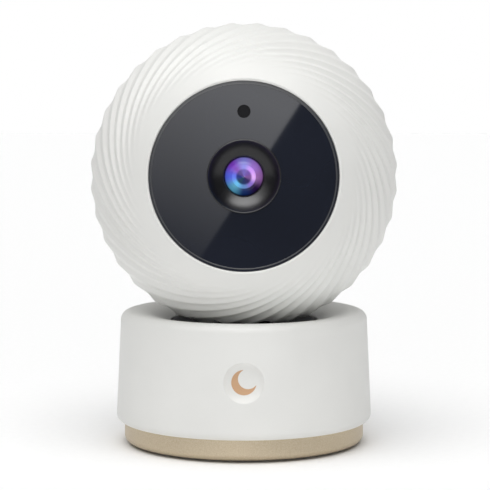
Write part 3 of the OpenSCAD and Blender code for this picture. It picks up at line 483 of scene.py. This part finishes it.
def neck_band():
    """Cutter for the neck's slot: a rectangle carried round the tilt axis, closed at both ends."""
    angle = np.radians(np.linspace(SLOT_FRONT, SLOT_REAR, 60))
    corners = np.array(
        [[-NECK_HALF, SLOT_IN], [NECK_HALF, SLOT_IN], [NECK_HALF, SLOT_OUT], [-NECK_HALF, SLOT_OUT]])
    x = np.broadcast_to(corners[:, 0], (len(angle), 4))
    y = np.sin(angle)[:, None] * corners[None, :, 1]
    z = -np.cos(angle)[:, None] * corners[None, :, 1]
    faces = grid_faces(len(angle), 4) + [[0, 1, 2, 3], [len(angle) * 4 - k for k in (1, 2, 3, 4)]]
    return mesh_object("neck_band", head_to_row(np.stack([x, y, z], -1)), faces, smooth=False)


def cut(piece, cutter):
    """Cuts one closed piece with another and drops the cutter."""
    tool = piece.modifiers.new("cut", "BOOLEAN")
    tool.operation, tool.solver, tool.object = "DIFFERENCE", "EXACT", cutter
    bpy.context.view_layer.update()
    result = bpy.data.meshes.new_from_object(piece.evaluated_get(bpy.context.evaluated_depsgraph_get()))
    piece.modifiers.clear()
    old = piece.data
    piece.data = result
    bpy.data.meshes.remove(old)
    bpy.data.objects.remove(cutter)
    return piece


for make, node_name in ((ball_front, "head_front_shell"), (ball_rear, "head_rear_shell")):
    shell = cut(make(), neck_band())
    soften(shell, 40)
    finish_piece(shell, "head", "white_shell", node_name)


def bezel_ring():
    """Thin bevelled ring that laps over the face panel's edge, turned round the face axis."""
    front = BALL_R * math.cos(math.asin((OPENING_R + LIP_ROUND) / BALL_R)) - LIP_ROUND
    ahead = FACE_FRONT
    outline = join(
        [[OPENING_R - 0.03 * MM, ahead - 0.6 * MM], [OPENING_R - 0.03 * MM, front - 0.10 * MM]],
        arc(OPENING_R - 0.20 * MM, front - 0.10 * MM, 0.17 * MM, 20, 90, 5),
        [[OPENING_R - 0.40 * MM, front + 0.05 * MM], [PANEL_SEEN_R + 0.08 * MM, ahead + 0.10 * MM]],
        [[PANEL_SEEN_R, ahead + 0.02 * MM], [PANEL_SEEN_R, ahead - 0.6 * MM]],
    )
    points = ring_rows(outline)
    return mesh_object("bezel_ring", head_to_row(points), grid_faces(len(points), len(phase), wrap_rows=True))


bezel = bezel_ring()
soften(bezel, 40)
finish_piece(bezel, "head", "bezel_grey", "face_bezel")


def hood_cone():
    """Lens hood, turned round the face axis: a thin raised lip, then a shallow cone down to the lens."""
    r = HOOD_R
    outline = join(
        [[r, FACE_FRONT - HOOD_SEAT], [r, FACE_FRONT + HOOD_LIP]],
        arc(r - HOOD_LIP_ROUND, FACE_FRONT + HOOD_LIP, HOOD_LIP_ROUND, 20, 160, 7),
        [[r - 0.42 * MM, FACE_FRONT - 0.05 * MM], [LENS_R + 0.45 * MM, FACE_FRONT - HOOD_DEEP]],
        arc(LENS_R + 0.45 * MM, FACE_FRONT - HOOD_HEEL, 0.3 * MM, 90, 180, 5)[1:],
        [[LENS_R + 0.15 * MM, FACE_FRONT - HOOD_BACK], [r - 1.2 * MM, FACE_FRONT - HOOD_BACK]],
        [[r - 1.2 * MM, FACE_FRONT - HOOD_SEAT]],
    )
    points = ring_rows(outline)
    return mesh_object("hood_cone", head_to_row(points), grid_faces(len(points), len(phase), wrap_rows=True))


hood = hood_cone()
soften(hood, 35)
finish_piece(hood, "head", "hood_black", "lens_hood")

# ---------- Base ----------


def base_side(z):
    """Radius of the base's tapered side at height z."""
    low, high = BASE_LOW + FOOT_ROUND, BASE_H - RIM_ROUND
    return BASE_FOOT_R + (BASE_TOP_R - BASE_FOOT_R) * (z - low) / (high - low)


def base_outline():
    """Outline of the base shell as (radius, height): foot, side, rim, dish, opening and inside.

    The dish falls from the rim by the inward share to the power 1.8, so it starts level and ends steep.
    """
    opening = DISH_IN_R
    dish = base_box[1][2] - DISH_FALL
    low, high = BASE_LOW + FOOT_ROUND, BASE_H - RIM_ROUND
    z = np.concatenate([
        np.linspace(low, BADGE_Z - FINE_NEXT, 12),
        np.linspace(BADGE_Z - FINE_HALF, BADGE_Z + FINE_HALF, 84),
        np.linspace(BADGE_Z + FINE_NEXT, high, 12),
    ])
    rim = arc(BASE_TOP_R - RIM_ROUND, high, RIM_ROUND, 2, 90, 20)
    inward = np.linspace(0, 1, 24)[1:]
    reach, drop = rim[-1][0] - opening - 0.5 * MM, rim[-1][1] - dish
    slope = np.stack([rim[-1][0] - reach * inward, rim[-1][1] - drop * inward ** 1.8], -1)
    return join(
        arc(BASE_FOOT_R - FOOT_ROUND, low, FOOT_ROUND, -90, 0, 12)[:-1],
        np.stack([base_side(z), z], -1),
        rim,
        slope,
        arc(opening + 0.5 * MM, dish - 0.5 * MM, 0.5 * MM, 90, 180, 6)[1:],
        [[opening, dish - BASE_WALL], [BASE_TOP_R - 4 * MM, BASE_H - BASE_WALL - 0.6 * MM]],
        [[BASE_TOP_R - BASE_WALL, BASE_H - BASE_WALL - 2 * MM], [BASE_FOOT_R - BASE_WALL, BASE_LOW]],
    )


def badge_dent(x, z):
    """How far the badge's dish sinks into the side at x and height z: flat in the middle, steep at its rim.

    The depth is BADGE_DEPTH times one less the fourth power of the share of the radius, blended to 0 outside.
    """
    away = np.hypot(x, z - BADGE_Z) / BADGE_R
    dent = BADGE_DEPTH * (1 - away ** 4)
    blend = 0.05 * MM
    return (dent + np.sqrt(dent ** 2 + blend ** 2)) / 2


def moon_inlay():
    """Crescent that lies in the bowl: strips from an outer arc to an inner arc, a hair proud of the bowl."""
    along = np.linspace(0.02, 0.98, 60)[:, None]
    outer_turn = np.radians(MOON_FROM + MOON_TURN * along)
    inner_turn = np.radians(MOON_IN_FROM + MOON_IN_TURN * along)
    across = np.concatenate([np.linspace(0, 1, 7), np.linspace(1, 0, 7)])[None, :]
    x = (1 - across) * MOON_R * np.cos(outer_turn) + across * (MOON_IN_X + MOON_IN_R * np.cos(inner_turn))
    z = (1 - across) * MOON_R * np.sin(outer_turn) + across * (MOON_IN_Z + MOON_IN_R * np.sin(inner_turn))
    z = z + BADGE_Z
    lift = np.where(np.arange(14) < 7, -MOON_PROUD, MOON_SUNK)[None, :] * MM
    y = badge_dent(x, z) - np.sqrt(base_side(z) ** 2 - x ** 2) + lift
    rows = len(along)
    faces = grid_faces(rows, 14) + [list(range(14)), [rows * 14 - k for k in range(1, 15)]]
    return mesh_object("moon_inlay", np.stack([x, y, z], -1), faces, smooth=False)


def base_body():
    """Base shell: its outline turned round the pan axis, with the badge's dish sunk into the front."""
    outline = base_outline()
    near = np.radians(np.linspace(-FINE_AZIMUTH, FINE_AZIMUTH, 150))
    far = np.radians(np.linspace(FINE_AZIMUTH, 360 - FINE_AZIMUTH, 230))[1:-1]
    azimuth = np.concatenate([near, far])
    r, z = outline[:, 0][:, None], outline[:, 1][:, None]
    x, y = r * np.sin(azimuth), -r * np.cos(azimuth)
    z = z + 0 * x
    outside = (np.arange(len(outline)) < OUTSIDE_ROWS)[:, None] & (np.cos(azimuth) > 0.9)[None, :]
    y = y + np.where(outside & (np.hypot(x, z - BADGE_Z) < 1.2 * BADGE_R), badge_dent(x, z), 0)
    points = np.stack([x, y, z], -1)
    return mesh_object("base_body", points, grid_faces(len(outline), len(azimuth), wrap_rows=True))


def outward_prism(name, outline, azimuth_deg, inner, outer, height):
    """Cutter: a closed outline of (across, up), pushed outward through the base's side."""
    a = math.radians(azimuth_deg)
    out, across = np.array([math.cos(a), math.sin(a), 0]), np.array([-math.sin(a), math.cos(a), 0])
    n = len(outline)
    flat = outline[:, :1] * across + outline[:, 1:] * np.array([0, 0, 1]) + np.array([0, 0, height])
    points = np.stack([flat + out * inner, flat + out * outer])
    faces = grid_faces(2, n) + [list(range(n)), list(range(2 * n - 1, n - 1, -1))]
    return mesh_object(name, points, faces, smooth=False)


def circle(radius, steps):
    """Round outline."""
    return arc(0, 0, radius, 0, 360, steps + 1)[:-1]


def rounded_slot(width, height, radius):
    """Rectangle with round corners as an outline."""
    w, h = width / 2 - radius, height / 2 - radius
    return join(*[arc(sx * w, sy * h, radius, start, start + 90, 7) for sx, sy, start in
                  ((1, 1, 0), (-1, 1, 90), (-1, -1, 180), (1, -1, 270))])


def rear_cutters():
    """Everything that opens the base's rear: inlet, grille, pairing button and microphone hole."""
    wall = (BASE_FOOT_R - 5 * MM, BASE_FOOT_R + 1 * MM)
    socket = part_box("power_socket")
    socket_mid = (socket[0][2] + socket[1][2]) / 2
    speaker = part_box("speaker")
    speaker_mid = (speaker[0][2] + speaker[1][2]) / 2
    holes = [outward_prism("cut_inlet", rounded_slot(*INLET), REAR, *wall, socket_mid)]
    holes.append(outward_prism("cut_button", circle(BUTTON_R, 40), BUTTON_AT, *wall, BUTTON_Z))
    holes.append(outward_prism("cut_mic", circle(MIC_R, 16), MIC_AT, *wall, MIC_Z))
    for row in range(GRILLE_CIRCLES):
        for k in range(max(1, row * 6)):
            angle = math.radians(k * 60 / max(1, row))
            spot = np.array([math.cos(angle), math.sin(angle)]) * row * GRILLE_STEP
            holes.append(outward_prism("cut_grille", circle(GRILLE_R, 14) + spot, REAR, *wall, speaker_mid))
    points, faces = [], []
    for hole in holes:
        start = sum(len(p) for p in points)
        points.append(np.array([v.co[:] for v in hole.data.vertices]))
        faces += [[start + v for v in face.vertices] for face in hole.data.polygons]
        bpy.data.objects.remove(hole)
    return mesh_object("rear_cutters", np.concatenate(points), faces, smooth=False)


base = cut(base_body(), rear_cutters())
soften(base, 35)
finish_piece(base, "base", "white_shell", "base_shell")


def turned(name, outline, columns=256):
    """A closed outline of (radius, height) turned round the pan axis."""
    angle = np.linspace(0, 2 * np.pi, columns, endpoint=False)
    r, z = outline[:, 0][:, None], outline[:, 1][:, None]
    points = np.stack([r * np.cos(angle), r * np.sin(angle), z + 0 * angle], -1)
    return mesh_object(name, points, grid_faces(len(outline), columns, wrap_rows=True))


def foot_ring():
    """Champagne ring under the base shell, with a rounded lower edge."""
    low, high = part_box("base_trim")
    r, z0, z1 = high[0] + FOOT_RING_OUT, low[2], high[2]
    edge, inside = FOOT_RING_EDGE, r - FOOT_RING_WALL
    return turned("foot_ring", join(
        [[inside, z0], [r - 1.8 * MM, z0]],
        arc(r - edge, z0 + edge, edge, -90, 0, 12),
        [[r, z0 + 2 * MM], [r, z0 + 3.5 * MM], [r, BASE_LOW - 0.03 * MM], [r - 0.3 * MM, BASE_LOW]],
        [[r - 0.7 * MM, z1], [inside, z1]],
    ))


moon = moon_inlay()
finish_piece(moon, "base", "badge_inlay", "badge_mark")

foot = foot_ring()
soften(foot, 40)
finish_piece(foot, "base", "champagne_trim", "base_trim")

# ---------- Light, floor and camera ----------

WORLD_BASE = 0.12
WORLD_UP = 0.62
WORLD_SIDE = 0.45
WORLD_FRONT = 0.15
GLOSS_DARK = 0.16
GLOSS_BACK = 0.5

# Softbox that only reflections see, in slopes from the face axis: a straight slanted edge, a glow that grows
# across and upward, more of it overhead, and a fall to the flanks and the rear
BOX_RISE = 0.0543
BOX_EDGE_ACROSS, BOX_EDGE_RISE = 0.84, -0.543
BOX_EDGE_FROM, BOX_EDGE_TO = 0.0043, 0.0038
GLOW_MID, GLOW_ACROSS, GLOW_RISE = 1.55, 10.0, 24.0
GLOW_LEAST, GLOW_MOST = 0.12, 2.6
OVERHEAD_FROM, OVERHEAD = 0.6, 6.0
FLANK_FALL = -1.2
FORE_FALL, FORE_MID = -3.3, 0.5

CAMERA_AT = (0, -0.5, 0.0966)
CAMERA_DOWN = 4.99
CAMERA_LENS = 137.6
CAMERA_SHIFT = 0.0022


def studio_world():
    """White surround, brightest overhead. In gloss, a softbox with a slanted straight edge stands before the
    face; the camera itself sees plain white."""
    world = bpy.data.worlds.new("white_surround")
    world.use_nodes = True
    tree = world.node_tree
    tree.nodes.clear()

    def put(kind, links=None, **settings):
        return add(world, kind, links, **settings)

    def math_node(operation, *values, clamp=False):
        node = put("ShaderNodeMath", operation=operation, use_clamp=clamp)
        for socket, value in zip(node.inputs, values):
            if isinstance(value, (int, float)):
                socket.default_value = value
            else:
                tree.links.new(value, socket)
        return node.outputs[0]

    way = put("ShaderNodeSeparateXYZ", {"Vector": put("ShaderNodeTexCoord").outputs["Generated"]})
    x, y, z = (way.outputs[k] for k in "XYZ")
    up = math_node("MAXIMUM", z, 0.0)
    side = math_node("POWER", math_node("ABSOLUTE", x), 2.0)
    above = math_node("MULTIPLY_ADD", up, WORLD_UP, WORLD_BASE)
    lit = math_node("ADD", above, math_node("MULTIPLY", side, -WORLD_SIDE))
    front = math_node("MAXIMUM", math_node("MULTIPLY", y, -1.0), 0.0)
    lit = math_node("MAXIMUM", math_node("MULTIPLY_ADD", front, WORLD_FRONT, lit), 0.0)
    ahead = math_node("MAXIMUM", math_node("MULTIPLY", y, -1.0), 0.05)
    across = math_node("DIVIDE", x, ahead)
    rise = math_node("SUBTRACT", math_node("DIVIDE", z, ahead), BOX_RISE)
    slant = math_node("MULTIPLY", across, BOX_EDGE_ACROSS), math_node("MULTIPLY", rise, BOX_EDGE_RISE)
    edge = math_node("ADD", *slant)
    inside = put("ShaderNodeMapRange", {"Value": edge}, From_Min=BOX_EDGE_FROM, From_Max=BOX_EDGE_TO)
    glow = math_node("MULTIPLY_ADD", across, GLOW_ACROSS, GLOW_MID)
    glow = math_node("ADD", glow, math_node("MULTIPLY", rise, GLOW_RISE))
    glow = math_node("MINIMUM", math_node("MAXIMUM", glow, GLOW_LEAST), GLOW_MOST)
    overhead = math_node("MAXIMUM", math_node("SUBTRACT", z, OVERHEAD_FROM), 0.0)
    glow = math_node("ADD", glow, math_node("MULTIPLY", overhead, OVERHEAD))
    flank = math_node("MULTIPLY_ADD", side, FLANK_FALL, 1.0, clamp=True)
    fore = math_node("MULTIPLY_ADD", y, FORE_FALL, FORE_MID, clamp=True)
    boxed = math_node("MULTIPLY", glow, inside.outputs[0])
    box_light = math_node("MULTIPLY", boxed, math_node("MULTIPLY", flank, fore))
    plain = math_node("MULTIPLY_ADD", fore, -GLOSS_BACK, GLOSS_BACK + GLOSS_DARK)
    gloss_level = math_node("ADD", plain, box_light)
    path = put("ShaderNodeLightPath")
    light = put("ShaderNodeBackground", {"Strength": lit})
    gloss = put("ShaderNodeBackground", {"Strength": gloss_level})
    seen = put("ShaderNodeBackground", Strength=1.0)
    for background in (light, seen, gloss):
        background.inputs["Color"].default_value = (1, 1, 1, 1)
    is_gloss, is_camera = path.outputs["Is Glossy Ray"], path.outputs["Is Camera Ray"]
    first = put("ShaderNodeMixShader", {0: is_gloss, 1: light.outputs[0], 2: gloss.outputs[0]})
    second = put("ShaderNodeMixShader", {0: is_camera, 1: first.outputs[0], 2: seen.outputs[0]})
    put("ShaderNodeOutputWorld", {0: second.outputs[0]})
    bpy.context.scene.world = world


def paper_floor():
    """White paper that the camera stands on."""
    side = 3.0
    points = np.array([[-side, -side, 0], [side, -side, 0], [side, side, 0], [-side, side, 0]])
    floor = mesh_object("paper_floor", points, [[0, 1, 2, 3]], smooth=False)
    if floor.data.polygons[0].normal.z < 0:
        floor.data.flip_normals()
    material, shader = new_material("white_paper")
    set_shader(shader, Roughness=0.9, Specular_IOR_Level=0.1)
    fibre = object_noise(material, 1 / (2 * MM), 2.0)
    shade = ramp_between(material, fibre.outputs["Fac"], colour("#fcfcfc"), colour("#fefefe"))
    connect(material, shade, shader.inputs["Base Color"])
    floor.data.materials.append(material)


def soft_light(name, energy, spread, towards):
    """A broad distant light that shines towards a direction."""
    lamp = bpy.data.lights.new(name, "SUN")
    lamp.energy, lamp.angle = energy, math.radians(spread)
    holder = bpy.data.objects.new(name, lamp)
    holder.rotation_euler = Vector(towards).to_track_quat("-Z", "Y").to_euler()
    bpy.context.scene.collection.objects.link(holder)
    return holder


studio_world()
paper_floor()
soft_light("high_softbox", 1.75, 60, (0.06, 0.3, -1))
soft_light("front_fill", 0.42, 50, (0, 1, 0)).visible_glossy = False

camera_data = bpy.data.cameras.new("camera")
camera_data.sensor_width = 36
camera_data.lens = CAMERA_LENS
camera_data.shift_x = CAMERA_SHIFT
camera = bpy.data.objects.new("camera", camera_data)
camera.location = CAMERA_AT
camera.rotation_euler = (math.radians(90 - CAMERA_DOWN), 0, 0)
bpy.context.scene.collection.objects.link(camera)
bpy.context.scene.camera = camera
bpy.context.scene.view_settings.view_transform = "Standard"
